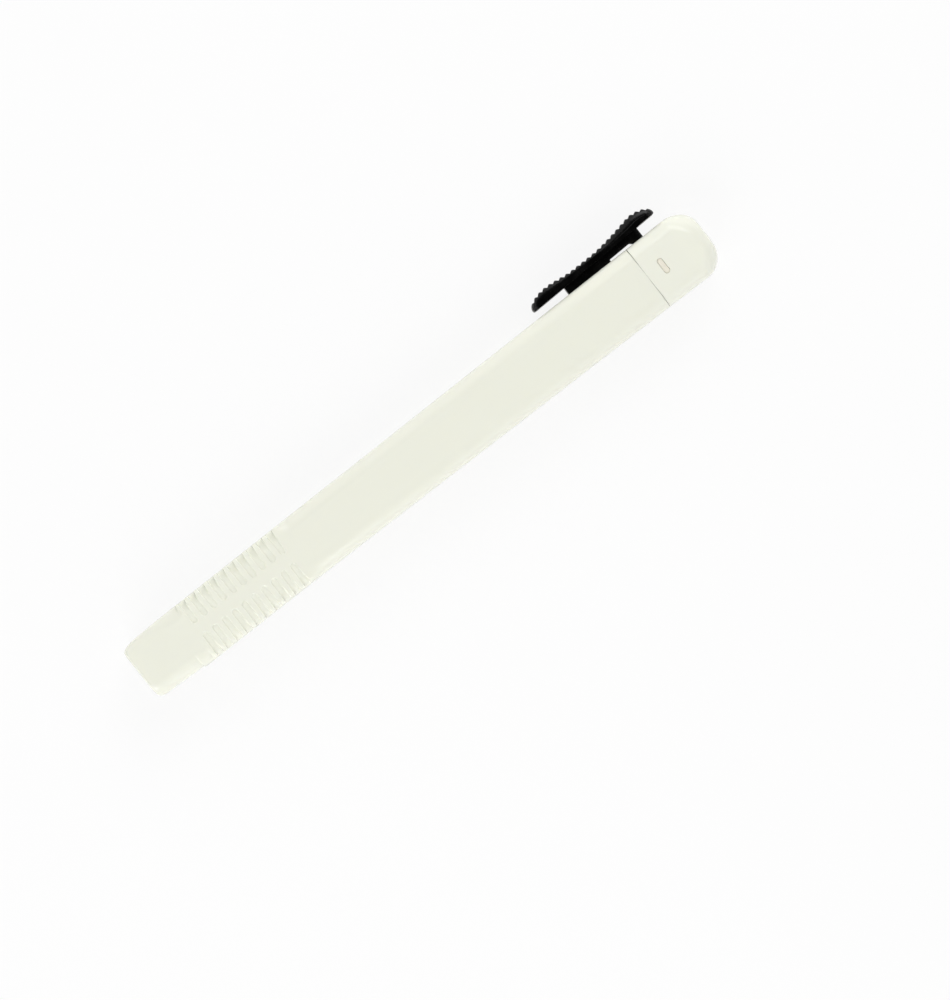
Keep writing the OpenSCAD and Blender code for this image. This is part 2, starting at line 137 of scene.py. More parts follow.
def ring_faces(rings, count, closed_ends=True, wrap=False):
    """Quads between closed rings of count points; wrap joins the last ring to the first."""
    faces = []
    last = rings if wrap else rings - 1
    for i in range(last):
        a, b = i * count, ((i + 1) % rings) * count
        for j in range(count):
            k = (j + 1) % count
            faces.append((a + j, a + k, b + k, b + j))
    if closed_ends:
        faces.append(tuple(reversed(range(count))))
        faces.append(tuple((rings - 1) * count + j for j in range(count)))
    return faces


def outward(obj):
    """Turns every closed shell's faces outwards."""
    bm = bmesh.new()
    bm.from_mesh(obj.data)
    bmesh.ops.recalc_face_normals(bm, faces=bm.faces)
    bm.to_mesh(obj.data)
    bm.free()
    return obj


def at_x(x, loop):
    """(x, y, z) points of a loop of (y, z) points; x is one place or one for each point."""
    return np.column_stack([np.broadcast_to(x, (len(loop),)), loop])


def loft(name, rings, wrap=False):
    """Closed solid through rings of (x, y, z) points; wrap makes it a tube whose last ring joins the first."""
    verts = [point for ring in rings for point in ring]
    faces = ring_faces(len(rings), len(rings[0]), closed_ends=not wrap, wrap=wrap)
    return outward(mesh_object(name, verts, faces))


def settle(obj):
    """Replaces the object's mesh by what its modifiers make of it."""
    graph = bpy.context.evaluated_depsgraph_get()
    mesh = bpy.data.meshes.new_from_object(obj.evaluated_get(graph))
    obj.modifiers.clear()
    obj.data = mesh
    return obj


def combine(obj, tools, operation="DIFFERENCE"):
    """Cuts the tools out of the object, or joins them to it."""
    for tool in tools:
        mod = obj.modifiers.new("join", "BOOLEAN")
        mod.operation = operation
        mod.solver = "EXACT"
        mod.object = tool
        settle(obj)
        bpy.data.objects.remove(tool)
    return obj


def bevelled(obj, width):
    """Rounds the edges where faces meet at more than 35 degrees."""
    mod = obj.modifiers.new("bevel", "BEVEL")
    mod.width = width
    mod.segments = 2
    mod.limit_method = "ANGLE"
    mod.angle_limit = math.radians(35)
    mod.harden_normals = False
    return settle(obj)


def prism(name, outline, z0, z1, bevel=0.0):
    """Outline drawn as (x, y), extruded from z0 to z1."""
    obj = loft(name, [[(x, y, z) for x, y in outline] for z in (z0, z1)])
    return bevelled(obj, bevel) if bevel else obj


def lathe_x(name, profile, steps):
    """Closed solid of revolution round the pen's axis, from (x, radius) points that start and end at radius 0."""
    inner = profile[1:-1]
    verts = []
    for x, r in inner:
        for j in range(steps):
            a = 2 * math.pi * j / steps
            verts.append((x, r * math.cos(a), MID_Z + r * math.sin(a)))
    faces = ring_faces(len(inner), steps, closed_ends=False)
    first, last = len(verts), len(verts) + 1
    verts += [(profile[0][0], 0, MID_Z), (profile[-1][0], 0, MID_Z)]
    end = (len(inner) - 1) * steps
    for j in range(steps):
        k = (j + 1) % steps
        faces.append((first, k, j))
        faces.append((last, end + j, end + k))
    return outward(mesh_object(name, verts, faces))


def to_frame(obj, angle=38):
    """Moves a finished mesh from millimetres at the mouth to metres in the frame, and smooths its shading."""
    obj.data.transform(Matrix.Scale(MM, 4) @ Matrix.Translation((-PEN_L / 2, 0, 0)))
    obj.data.shade_smooth()
    obj.data.set_sharp_from_angle(angle=math.radians(angle))
    return obj


# Sections of barrel and cap

# Points on a quarter of a section: on the part of the flat that holds the grooves' inner ends, on the rest of the
# flat, on the rounded edge, and on the narrow side
N_INNER, N_OUTER, N_ARC = 38, 7, 22
INNER_END = 2.2
FACE_STEPS = np.array([0.14, 0.3, 0.5, 0.7, 0.84, 0.92, 0.965, 0.985, 1.0])
# Direction of the normal at each of them, from 0 on the flat to a right angle on the narrow side
PHI = np.concatenate([
    np.zeros(N_INNER + N_OUTER),
    np.linspace(0, math.pi / 2, N_ARC + 1)[:-1],
    np.full(len(FACE_STEPS) + 1, math.pi / 2),
])


def quarter(h, t, rc):
    """(y, z above mid) of a quarter section, from the middle of the flat to the middle of the narrow side."""
    inner_end = min(INNER_END, 0.8 * (h - rc))
    y = spread(0, inner_end, N_INNER + 1) + spread(inner_end, h - rc, N_OUTER + 1)
    z = [t] * len(y)
    for a in spread(0, math.pi / 2, N_ARC + 1):
        y.append(h - rc + rc * math.sin(a))
        z.append(t - rc + rc * math.cos(a))
    y.append(h)
    z.append(t - rc)
    for s in FACE_STEPS:
        y.append(h)
        z.append((t - rc) * (1 - s))
    return np.array(y), np.array(z)


def section(hp, hm, t, rc, push=None, rc_lever=None):
    """Closed loop of (y, z) points round a section. push(y, phi, side) moves points along their normals."""
    loop = []
    parts = ((1, 1, hp), (1, -1, hp), (-1, -1, hm), (-1, 1, hm))
    for n, (sy, sz, h) in enumerate(parts):
        y, z = quarter(h, t, rc_lever if rc_lever and sy > 0 else rc)
        if push is not None:
            d = push(y, PHI, sy)
            y = y + d * np.sin(PHI)
            z = z + d * np.cos(PHI)
        pts = np.stack([sy * y, MID_Z + sz * z], axis=1)
        if n % 2:
            pts = pts[::-1]
        # A quarter's last point is the next one's first
        loop.append(pts[:-1])
    return np.concatenate(loop)


def inset_section(sizes, d):
    """Section of (half height to the lever, half height away from it, half thickness), d further in."""
    hp, hm, t = sizes
    return section(hp - d, hm - d, t - d, max(EDGE_R - d, 0.4))


# Grip: grooves, and lands with squarer corners between them and at both ends
GROOVE_N, GROOVE_PITCH, GROOVE_X = 10, 2.03, 12.6
GROOVE_HALF, GROOVE_D, GROOVE_END = 0.535, 0.2, 1.0
GROOVE_LIP, GROOVE_WALL = 0.06, 0.2
GROOVE_FADE, GROOVE_FADE_L = math.radians(20), math.radians(35)
GRIP_FROM, GRIP_TO = 11.05, 34.5
LAND_R = 0.9
# (half width at full reach, length of the slope beside it) of a land between grooves, and at the outer sides of
# the first and the last land
LAND, FIRST_LAND, LAST_LAND = (0.34, 0.16), (0.06, 0.32), (0.3, 2.2)
# The lands stand out less on the side away from the lever
LOW_LAND = 0.6
GROOVES = GROOVE_X + GROOVE_PITCH * np.arange(GROOVE_N)
LANDS = GROOVE_X + GROOVE_PITCH * (np.arange(GROOVE_N + 1) - 0.5)


def corner_reach(half, r, c, s):
    """Distance from a square's middle to its corner of radius r, where a ray with cosine c and sine s meets it."""
    k = half - r
    along = k * (c + s)
    return along + np.sqrt(np.maximum(0, along ** 2 - (2 * k * k - r * r)))


def land_reach(phi):
    """How far a land's squarer corner stands out past the barrel's rounded edge, along the normal at phi."""
    s, c = np.sin(phi), np.cos(phi)
    limit = math.atan2(EDGE_R - LAND_R, EDGE_R)
    arc = corner_reach(EDGE_R, LAND_R, c, s)
    flat = EDGE_R / np.maximum(c, 0.1)
    side = EDGE_R / np.maximum(s, 0.1)
    reach = np.where(phi <= limit, flat, np.where(phi >= math.pi / 2 - limit, side, arc))
    return reach - EDGE_R


LAND_REACH = land_reach(PHI)


def grip_push(x):
    """The grip's grooves and lands at one distance from the mouth, as a push along the normals."""
    across = np.min(np.abs(GROOVES - x))
    away, (half, slope) = np.min(np.abs(LANDS - x)), LAND
    if x < LANDS[0]:
        away, (half, slope) = LANDS[0] - x, FIRST_LAND
    if x > LANDS[-1]:
        away, (half, slope) = x - LANDS[-1], LAST_LAND
    crown = 1 - smooth((away - half) / slope)

    def push(y, phi, side):
        inner = np.maximum(0, GROOVE_END + GROOVE_HALF - y)
        depth = smooth((GROOVE_HALF + GROOVE_LIP - np.hypot(across, inner)) / GROOVE_WALL)
        fade = 1 - smooth((phi - GROOVE_FADE) / GROOVE_FADE_L)
        return -GROOVE_D * depth * fade + LAND_REACH * crown * (1.0 if side > 0 else LOW_LAND)
    return push


def nose_push(x):
    """Very shallow dish in the nose's flat sides."""
    front, rear = ((x - start) / length for start, length in (DISH_FRONT, DISH_REAR))
    along = smooth(front) * (1 - smooth(rear))

    def push(y, phi, side):
        outer = DISH_LEVER if side > 0 else DISH_OTHER
        return -DISH_D * along * (1 - smooth((y - 0.2) / outer)) * (phi == 0)
    return push


def rounding(x, end, form):
    """How much a quarter ellipse of (length, depth) takes off at x, before or behind an end."""
    length, depth = form
    u = np.clip((length - abs(end - x)) / length, 0, 1)
    return depth * (1 - np.sqrt(np.maximum(0, 1 - u * u)))


def barrel_sizes(x):
    """(half height to the lever, half height away from it, half thickness)."""
    nose = max(0.0, NOSE_L - x) / NOSE_L
    h = half_h(max(x, NOSE_L)) - NOSE_LOWER * nose
    pad = 0.0
    if PAD_X < x < PAD_END:
        pad = PAD_H * (1 - (x - PAD_TOP_X) / PAD_L) * float(smooth((x - PAD_X) / PAD_STEP))
    return (
        h - rounding(x, 0, MOUTH_LEVER),
        h + pad - rounding(x, 0, MOUTH_OTHER),
        MID_Z - NOSE_THINNER * nose - rounding(x, 0, MOUTH_FLAT),
    )


def cap_sizes(x):
    """(half height to the lever, half height away from it, half thickness)."""
    h = min(half_h(x), half_h(PEN_L))
    return (
        h - rounding(x, PEN_L, CAP_LEVER),
        h - rounding(x, PEN_L, CAP_OTHER),
        MID_Z - rounding(x, PEN_L, CAP_FLAT),
    )


def seam_opening(loop):
    """The seam is nearly closed and opens a little towards the lever side, and less towards the other."""
    opening = 0
    for side, (width, start, length) in ((1, SEAM_LEVER), (-1, SEAM_OTHER)):
        opening = opening + width * smooth((side * loop[:, 0] - start) / length)
    return opening


def parting(loop):
    """Faint moulding ridge along the middle of the narrow sides."""
    ridge = PARTING_H * np.exp(-((loop[:, 1] - MID_Z) / PARTING_W) ** 2)
    narrow = np.abs(loop[:, 0]) > 3.5
    loop[:, 0] += np.where(narrow, -np.sign(loop[:, 0]) * (PARTING_H - ridge), 0.0)
    return loop


def polar_ring(loop, reach):
    """Ring at the loop's own angles, reach(angle) away from the axis."""
    angle = np.arctan2(loop[:, 1] - MID_Z, loop[:, 0])
    r = reach(angle)
    return np.stack([r * np.cos(angle), MID_Z + r * np.sin(angle)], axis=1)


def square_reach(half, r):
    def reach(angle):
        c, s = np.abs(np.cos(angle)), np.abs(np.sin(angle))
        flat = half / np.maximum(c, s)
        in_arc = (flat * np.minimum(c, s)) > half - r
        return np.where(in_arc, corner_reach(half, r, c, s), flat)
    return reach


def round_reach(r):
    return lambda angle: np.full_like(angle, r)


# Cutters and catches

def stadium(front, rear, half, steps=14):
    """Outline in (x, z) of a slot with a round front and a square rear end."""
    pts = [(rear, MID_Z + half), (rear, MID_Z - half)]
    for i in range(steps + 1):
        a = -math.pi / 2 - math.pi * i / steps
        pts.append((front + half + half * math.cos(a), MID_Z + half * math.sin(a)))
    return pts


def flared_cutter(name, outline_at):
    """Cuts out through the lever's side with the slot's wall. outline_at(offset) gives (x, z) points."""
    rings = [[(x, CUT_FROM, z) for x, z in outline_at(0.0)]]
    for over, offset in SLOT_FLARE:
        rings.append([(x, half_h(x) + over, z) for x, z in outline_at(offset)])
    return loft(name, rings)


def notch_outline(d):
    """Outline in (x, z) of the notch that carries the slot on into the cap."""
    pts = [(NOTCH_X, MID_Z - SLOT_HALF - d)]
    for side, start in ((-1, -90), (1, 0)):
        for i in range(5):
            c, s = turned(start + 90 * i / 4)
            x, z = NOTCH_REAR + d - NOTCH_R, MID_Z + side * (SLOT_HALF + d - NOTCH_R)
            pts.append((x + NOTCH_R * c, z + NOTCH_R * s))
    pts.append((NOTCH_X, MID_Z + SLOT_HALF + d))
    return pts


def oblong(cx, half, reach, steps=12):
    """Outline in (x, y) of an oblong with round ends, long way across the pen."""
    pts = []
    for sy in (1, -1):
        for i in range(steps + 1):
            a = math.pi * i / steps + (0 if sy > 0 else math.pi)
            pts.append((cx + half * math.cos(a), sy * (reach - half) + half * math.sin(a)))
    return pts


def oblong_loft(name, levels):
    """Oblong at the window's place through (height, offset) levels."""
    return loft(name, [
        [(x, y, z) for x, y in oblong(WINDOW_X, WINDOW_HALF + d, WINDOW_REACH + d)] for z, d in levels
    ])


def window_cutter():
    """Goes through both flat sides, with a small rounded rim outside."""
    lower = list(WINDOW_RIM)
    return oblong_loft("window", lower + [(2 * MID_Z - z, d) for z, d in reversed(lower)])


def make_catch(side):
    """Low oblong catch on the spigot, with a domed top that fills the cap's window."""
    return oblong_loft("catch", [
        (MID_Z + side * (MID_Z - depth), -CATCH_PLAY - inset) for depth, inset in CATCH_FORM
    ])


def rack_cutters():
    """Saw-tooth notches under the roof on both sides of the slot."""
    verts, faces = [], []
    n = len(RACK_TOOTH)
    for i in range(RACK_FIRST, RACK_END):
        base = len(verts)
        pts = [(RACK_X + RACK_PITCH * i + dx, y) for dx, y in RACK_TOOTH]
        verts += [(x, y, MID_Z + z) for z in (-RACK_HALF, RACK_HALF) for x, y in pts]
        faces += [tuple(base + k for k in f) for f in ring_faces(2, n)]
    return outward(mesh_object("rack_cutter", verts, faces))


# Barrel

def barrel_places():
    """X of the barrel's rings, closer together where the form changes quickly and in step with the grooves."""
    xs = crowded(0, 0.42, 9) + spread(0.42, 2.8, 14) + spread(2.8, 8.8, 22)
    xs += list(np.arange(8.8, 9.4, 0.06)) + spread(9.4, 11.1, 8) + [11.1, 11.2, 11.3, 11.4, 11.5]
    across = [0, 0.15, 0.3, 0.39, 0.43, 0.47, 0.51, 0.55, 0.6, 0.65, 0.7, 0.8, 0.9]
    pitch_half = GROOVE_PITCH / 2
    for g in GROOVES:
        xs += [g + d for d in [-pitch_half] + [-a for a in across[:0:-1]] + across]
    xs += spread(GROOVES[-1] + pitch_half, 34.6, 18)
    return xs + list(np.linspace(34.6, SEAM_X - SEAM_GAP - SEAM_EDGE - 0.15, 28))


def barrel_ring(x):
    push = None
    if GRIP_FROM < x < GRIP_TO:
        push = grip_push(x)
    elif DISH_FRONT[0] < x < DISH_TO:
        push = nose_push(x)
    # The nose's flat reaches further out towards the lever side
    nose_r = NOSE_EDGE_R + (EDGE_R - NOSE_EDGE_R) * float(smooth((x - NOSE_EDGE_X) / NOSE_EDGE_L))
    return parting(section(*barrel_sizes(x), EDGE_R, push, nose_r))


def barrel_shell():
    """Barrel with its spigot, channel and bore: one tube, outside from the mouth and inside back to it."""
    rings = [(x, barrel_ring(x)) for x in barrel_places()]
    mouth = rings[0][1]
    sizes = barrel_sizes(SEAM_X)
    end_x = SEAM_X - SEAM_GAP
    for degrees in (30, 60, 90):
        c, s = turned(degrees)
        ring = inset_section(sizes, SEAM_EDGE * (1 - c))
        rings.append((end_x - SEAM_EDGE + SEAM_EDGE * s - seam_opening(ring), ring))
    neck = inset_section(sizes, SPIGOT_INSET)
    tip = inset_section(sizes, SPIGOT_INSET + SPIGOT_TIP)
    rings += [(end_x, neck), (SPIGOT_END - SPIGOT_TIP, neck), (SPIGOT_END, tip)]
    # Inside, from the rear end back to the mouth
    channel = square_reach(CHANNEL_HALF, CHANNEL_R)
    bore = round_reach(BORE_R)
    rings.append((SPIGOT_END, polar_ring(tip, channel)))
    rings += [(x, polar_ring(mouth, channel)) for x in (90.0, 60.0, 35.0, BORE_END)]
    rings += [(x, polar_ring(mouth, bore)) for x in (BORE_END, BORE_EDGE_X)]
    for degrees in (30, 60, 90):
        c, s = turned(degrees)
        edge = round_reach(BORE_R + BORE_EDGE_R * (1 - c))
        rings.append((BORE_EDGE_X - BORE_EDGE_X * s, polar_ring(mouth, edge)))
    # The rim, from the bore out to the mouth's edge
    rim = polar_ring(mouth, round_reach(BORE_R + BORE_EDGE_R))
    rings += [(0.0, rim + (mouth - rim) * share) for share in (0.25, 0.5, 0.75)]
    return loft("barrel_shell", [at_x(x, loop) for x, loop in rings], wrap=True)


def make_barrel():
    barrel = barrel_shell()
    slot = flared_cutter("slot_cutter", lambda d: stadium(SLOT_FRONT - d, PEN_L, SLOT_HALF + d))
    combine(barrel, [slot, rack_cutters()])
    for side in (-1, 1):
        combine(barrel, [make_catch(side)], "UNION")
    barrel.data.materials.append(cream_body)
    barrel.data.materials.append(catch_painted_shade)
    # Faces of the catches that show inside the windows take the material with painted shade of the recess
    for poly in barrel.data.polygons:
        c = poly.center
        in_window = abs(c.x - WINDOW_X) < WINDOW_HALF + 0.04 and abs(c.y) < WINDOW_REACH + 0.05
        over_spigot = abs(c.z - MID_Z) > MID_Z - SPIGOT_INSET + 0.01
        poly.material_index = 1 if in_window and over_spigot else 0
    return to_frame(barrel)


# Cap

def cap_ring(x):
    sizes = cap_sizes(x)
    # The rounded edge grows until the end is nearly round
    widest = min(sizes) * 0.98
    rc = EDGE_R + smooth((x - CAP_EDGE_X) / CAP_EDGE_L) * (widest - EDGE_R)
    loop = section(*sizes, min(rc, widest))
    return parting(loop) if x < 113 else loop


def cap_shell():
    """Solid cap, before its inside is cut."""
    rings = []
    start = SEAM_X + SEAM_GAP
    for degrees in (90, 60, 30):
        c, s = turned(degrees)
        ring = inset_section(cap_sizes(SEAM_X), SEAM_EDGE * (1 - c))
        rings.append((start + SEAM_EDGE - SEAM_EDGE * s + seam_opening(ring), ring))
    xs = list(np.linspace(start + SEAM_EDGE + 0.15, 113.2, 16))
    xs += [PEN_L - 4.8 * (1 - math.sin(a)) for a in np.linspace(0.05, math.pi / 2, 44)]
    rings += [(x, cap_ring(x)) for x in xs]
    # The closed end, with a moulding gate sunk in its middle
    end = rings[-1][1]
    centre = end.mean(axis=0)
    rings += [(PEN_L, centre + (end - centre) * share) for share in (0.9, 0.75, 0.6, 0.45, 0.34)]
    angle = np.arctan2(end[:, 1] - centre[1], end[:, 0] - centre[0])
    for r, depth in GATE:
        ring = np.stack([centre[0] + r * np.cos(angle), centre[1] + r * np.sin(angle)], axis=1)
        rings.append((PEN_L - depth, ring))
    return loft("cap_shell", [at_x(x, loop) for x, loop in rings])


def make_cap():
    cutters = []
    for name, (x0, x1, inset) in (("wide", CAP_WIDE), ("deep", CAP_DEEP)):
        hollow = inset_section(cap_sizes(SEAM_X), inset)
        cutters.append(loft(name, [at_x(x, hollow) for x in (x0, x1)]))
    cutters += [flared_cutter("notch", notch_outline), window_cutter()]
    return to_frame(combine(cap_shell(), cutters))


# Thumb lever

BAR_FRONT, BAR_REAR = 87.7, 113.4
HUMP_F, SADDLE_F, SADDLE_R, HUMP_R = 91.6, 97.0, 101.1, 109.5
# Heights over the barrel
H_FRONT, H_SADDLE, H_REAR = 3.45, 2.92, 4.14
GAP_FRONT, GAP_REAR = 1.2, 1.85
HUMP_POWER = 1.4
TIP_R, RIB_H, RIB_PITCH, RIB_ROUND = 0.4, 0.36, 1.1, 0.14
RIB_FIRST, RIB_LAST = BAR_FRONT + TIP_R + 0.12, BAR_REAR - 0.24
BAR_HALF, BAR_CORNER = 3.0, 1.4
CREASE_X = (BAR_FRONT, 89.1, 90.9, 94.0, 102.3, 105.6, 110.3, BAR_REAR)
CREASE_H = (1.4, 2.13, 2.56, 2.38, 2.3, 2.12, 2.76, 2.4)
CREASE_LOW, CREASE_HIGH = 0.35, 0.7
SHOULDER, LEDGE, LOW_EDGE = 0.95, 0.07, 0.02

# Keel with its foot behind an arch, and the toothed plate under it
KEEL_FRONT, ARCH_FRONT, FOOT_FRONT, FOOT_REAR = 94.1, 102.9, 107.7, 109.6
KEEL_LOW, KEEL_INTO_BAR, KEEL_HALF, KEEL_EDGE = 3.3, 0.33, 1.7, 0.09
ARCH_H, FOOT_BEVEL = 0.38, 0.6
PLATE_LOW, PLATE_TOP, TOOTH_LOW, TOOTH_TOP = 2.65, 3.95, 4.15, 4.55
TOOTH_FLAT, TOOTH_L, TOOTH_PLACES = 0.3, 1.6, (106.9, 104.9, 102.9)
PLATE_HALF, PLATE_EDGE = 3.0, 0.06


def bar_gap(x):
    """Height of the thumb bar's underside over the barrel."""
    return GAP_FRONT + (GAP_REAR - GAP_FRONT) * (x - BAR_FRONT) / (BAR_REAR - BAR_FRONT)


def crest(x):
    """Height of the ribs' tips over the barrel: two humps with a saddle between them."""
    if x < HUMP_F:
        u = (HUMP_F - x) / (HUMP_F - BAR_FRONT)
        low = GAP_FRONT + TIP_R
        return low + (H_FRONT - low) * math.sqrt(max(0, 1 - u * u))
    if x < SADDLE_F:
        return H_SADDLE + (H_FRONT - H_SADDLE) * (1 + math.cos(math.pi * (x - HUMP_F) / (SADDLE_F - HUMP_F))) / 2
    if x < SADDLE_R:
        return H_SADDLE
    if x < HUMP_R:
        return H_SADDLE + (H_REAR - H_SADDLE) * ((x - SADDLE_R) / (HUMP_R - SADDLE_R)) ** HUMP_POWER
    u = (x - HUMP_R) / (BAR_REAR - HUMP_R)
    low = GAP_REAR + TIP_R
    return low + (H_REAR - low) * math.sqrt(max(0, 1 - u * u))


def rib_places():
    """X of the ribs, evenly spaced along the crest."""
    places, x = [], RIB_FIRST
    while x < RIB_LAST:
        places.append(x)
        m = x + RIB_PITCH / 2
        x += RIB_PITCH * math.cos(math.atan((crest(m + 0.1) - crest(m - 0.1)) / 0.2))
    return places


RIBS = rib_places()


def rib_bump(x):
    """1 on a rib's slightly rounded tip, 0 at the bottom of the valley between two ribs."""
    if x <= RIBS[0] or x >= RIBS[-1]:
        return 1.0
    i = int(np.searchsorted(RIBS, x)) - 1
    a, b = RIBS[i], RIBS[i + 1]
    v = 1 - abs((x - a) / (b - a) - 0.5) * 2
    return 1 - (math.hypot(v, RIB_ROUND) - RIB_ROUND) / (math.hypot(1, RIB_ROUND) - RIB_ROUND)


def soft_crease(x):
    """Height over the barrel of the crease between the bar's side and its rounded shoulder."""
    return sum(float(np.interp(x + d, CREASE_X, CREASE_H)) for d in (-0.6, -0.3, 0, 0.3, 0.6)) / 5


def bar_ring(x):
    """Ring round the thumb bar: flat underside, sharp lower edge, side, crease, and ribbed shoulder and top."""
    tip = min(x - BAR_FRONT, BAR_REAR - x)
    u = float(np.clip((BAR_CORNER - tip) / BAR_CORNER, 0, 1))
    w = BAR_HALF - BAR_CORNER * (1 - math.sqrt(max(0.0, 1 - u * u)))
    v = float(np.clip((TIP_R - tip) / TIP_R, 0, 1))
    under = (TIP_R - 0.04) * (1 - math.sqrt(max(0.0, 1 - v * v)))
    base = half_h(x)
    yb = base + bar_gap(x) + under
    high = base + crest(x)
    cut = high - RIB_H * (1 - rib_bump(x))
    room = high - yb
    yc = min(max(base + soft_crease(x), yb + CREASE_LOW * room), yb + CREASE_HIGH * room)
    low_r = min(LOW_EDGE, (yc - yb) * 0.45)
    pts = [(z, yb) for z in spread(0, w - low_r, 5)]
    for a in np.linspace(0, math.pi / 2, 5):
        pts.append((w - low_r + low_r * math.sin(a), yb + low_r - low_r * math.cos(a)))
    pts += [(w, y) for y in np.linspace(yb + low_r, yc, 6)[1:]]
    # A crease at the foot of the shoulder, then a rounded slope that the valleys between the ribs cut into
    shoulder = min(SHOULDER, w * 0.45)
    ledge = min(LEDGE, w * 0.04)
    for a in np.linspace(0.04, math.pi / 2, 22):
        y = yc + (high - yc) * math.sin(a) ** 0.95
        pts.append((w - ledge - (shoulder - ledge) * (1 - math.cos(a)), min(y, cut)))
    pts += [(z, cut) for z in np.linspace(pts[-1][0], 0, 9)[1:]]
    full = pts + [(-z, y) for z, y in reversed(pts[1:-1])]
    return [(x, y, MID_Z + z) for z, y in full]


def make_keel():
    """Keel from the plate up into the bar, with an arch in front of its foot."""
    def at(x, h):
        return (x, half_h(x) + h)
    bevel_x = FOOT_FRONT - FOOT_BEVEL
    return prism("keel", [
        (KEEL_FRONT, KEEL_LOW), at(KEEL_FRONT, bar_gap(KEEL_FRONT) + KEEL_INTO_BAR),
        at(FOOT_REAR, bar_gap(FOOT_REAR) + KEEL_INTO_BAR), (FOOT_REAR, KEEL_LOW),
        (FOOT_FRONT, KEEL_LOW), at(FOOT_FRONT, 0.0), at(bevel_x, ARCH_H + bar_gap(bevel_x) - bar_gap(ARCH_FRONT)),
        at(ARCH_FRONT, ARCH_H), (ARCH_FRONT, KEEL_LOW),
    ], MID_Z - KEEL_HALF, MID_Z + KEEL_HALF, bevel=KEEL_EDGE)


def make_plate():
    """Plate under the barrel's roof, with three teeth for the rack."""
    outline = [(KEEL_FRONT, PLATE_LOW), (FOOT_REAR, PLATE_LOW), (FOOT_REAR, PLATE_TOP)]
    for x in TOOTH_PLACES:
        outline += [(x, PLATE_TOP), (x, TOOTH_TOP), (x - TOOTH_FLAT, TOOTH_TOP)]
        outline += [(x - TOOTH_L, TOOTH_LOW), (x - TOOTH_L, PLATE_TOP)]
    outline.append((KEEL_FRONT, PLATE_TOP))
    return prism("plate", outline, MID_Z - PLATE_HALF, MID_Z + PLATE_HALF, bevel=PLATE_EDGE)


def make_lever():
    xs = [BAR_FRONT + d for d in crowded(0, RIBS[0] - BAR_FRONT, 14)]
    for a, b in zip(RIBS[:-1], RIBS[1:]):
        xs += spread(a, b, 21)
    xs += [BAR_REAR - d for d in reversed(crowded(0, BAR_REAR - RIBS[-1], 14))]
    bar = loft("thumb_bar", [bar_ring(x) for x in xs])
    keel = combine(make_keel(), [make_plate()], "UNION")
    return to_frame(combine(bar, [keel], "UNION"), 32)


# Slider and stick

HOLDER_FRONT, HOLDER_REAR, HOLDER_HALF, HOLDER_R = 67.0, 110.0, 4.0, 1.35
# Rings as (X, inset), bore as (X, radius), and blocks cut out as (name, X, X, Y, Y, Z, Z) with Z from the axis
HOLDER_RINGS = (
    (HOLDER_FRONT, 0.25), (HOLDER_FRONT + 0.07, 0.1), (HOLDER_FRONT + 0.25, 0.0),
    (HOLDER_REAR - 0.2, 0.0), (HOLDER_REAR, 0.2),
)
HOLDER_BORE = ((66.0, 0), (66.0, 3.75), (67.0, 3.7), (67.25, 3.45), (81.5, 3.45), (81.5, 0))
HOLDER_CUTS = (
    ("slit", 66.0, 76.0, -6, 6, -0.5, 0.5),
    ("tray", 82.9, 111.0, -3.0, 2.25, -3.2, 3.2),
    ("gap", 82.9, 85.6, -2.9, 6, -3.2, 3.2),
    ("open", 87.1, 111.0, -2.9, 6, -3.2, 3.2),
)
STRAP_FRONT, STRAP_REAR, STRAP_Y, STRAP_HALF_T, STRAP_HALF_W, STRAP_EDGE = 87.05, 94.15, 3.3, 0.35, 2.5, 0.12
STICK_FRONT, STICK_REAR, STICK_R, STICK_EDGE = 1.5, 81.5, 3.4, 0.4


def make_holder():
    base = section(HOLDER_HALF, HOLDER_HALF, HOLDER_HALF, HOLDER_R)
    holder = loft("slider_holder", [
        at_x(x, polar_ring(base, square_reach(HOLDER_HALF - d, HOLDER_R - d))) for x, d in HOLDER_RINGS
    ])
    cutters = [lathe_x("bore", HOLDER_BORE, 72)]
    for name, x0, x1, y0, y1, z0, z1 in HOLDER_CUTS:
        cutters.append(prism(name, [(x0, y0), (x1, y0), (x1, y1), (x0, y1)], MID_Z + z0, MID_Z + z1))
    return to_frame(combine(holder, cutters))


def make_strap():
    """Bending strap with rounded long edges, finely divided along its length."""
    y, z = STRAP_HALF_T - STRAP_EDGE, STRAP_HALF_W - STRAP_EDGE
    loop = []
    for cy, cz, start in ((y, z, 0), (-y, z, 90), (-y, -z, 180), (y, -z, 270)):
        for i in range(6):
            c, s = turned(start + 90 * i / 5)
            loop.append((STRAP_Y + cy + STRAP_EDGE * c, MID_Z + cz + STRAP_EDGE * s))
    places = np.linspace(STRAP_FRONT, STRAP_REAR, 61)
    return to_frame(loft("bending_strap", [at_x(x, loop) for x in places]))


def make_stick():
    """Round vinyl stick with softly worn ends."""
    low = STICK_R - STICK_EDGE
    x0 = STICK_FRONT + 0.03
    profile = [(STICK_FRONT, 0), (STICK_FRONT, 1.2), (STICK_FRONT + 0.01, 2.4), (x0, low)]
    for degrees in np.linspace(15, 90, 6):
        c, s = turned(degrees)
        profile.append((x0 + (STICK_EDGE - 0.03) * (1 - c), low + STICK_EDGE * s))
    profile += [(x, STICK_R) for x in np.linspace(STICK_FRONT + 3, STICK_REAR - 3, 40)]
    for degrees in np.linspace(90, 15, 6):
        c, s = turned(degrees)
        profile.append((STICK_REAR - STICK_EDGE * (1 - c), low + STICK_EDGE * s))
    profile += [(STICK_REAR, low), (STICK_REAR, 1.5), (STICK_REAR, 0)]
    return to_frame(lathe_x("vinyl_stick", profile, 128), 50)


# Materials

def nodes_of(name):
    mat = bpy.data.materials.new(name)
    mat.use_nodes = True
    tree = mat.node_tree
    return mat, tree, tree.nodes["Principled BSDF"], tree.nodes.new("ShaderNodeTexCoord")


